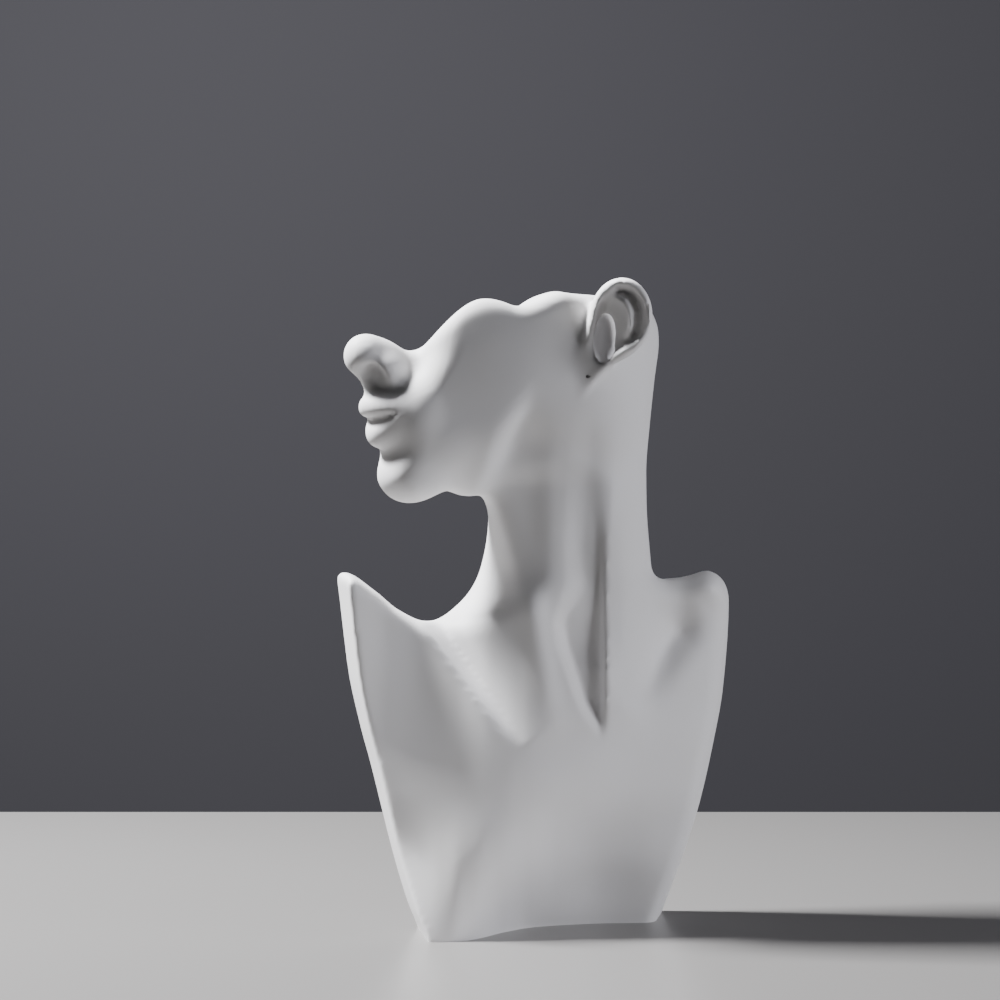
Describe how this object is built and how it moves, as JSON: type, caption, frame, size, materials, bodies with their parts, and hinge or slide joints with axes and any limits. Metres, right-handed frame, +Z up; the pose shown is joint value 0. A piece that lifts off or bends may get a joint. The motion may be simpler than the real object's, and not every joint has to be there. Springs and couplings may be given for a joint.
{
  "type": "jewellery display bust, half face",
  "caption": "White cast-resin half-face display bust: shield-shaped chest, long neck and a turned head that ends in a wavy cut across nose and ear.",
  "frame": {"origin": "middle of the flat underside, where the bust stands", "axes": "+Z up along the neck; the viewer of the picture stands on the -Y side; the face looks towards -X, turned about 24 degrees towards the viewer"},
  "size_m": [0.2179, 0.1354, 0.352],
  "materials": {
    "cast_resin": "matte"
  },
  "bodies": {
    "root": {"half_face_bust": "cast_resin"}
  },
  "joints": []
}
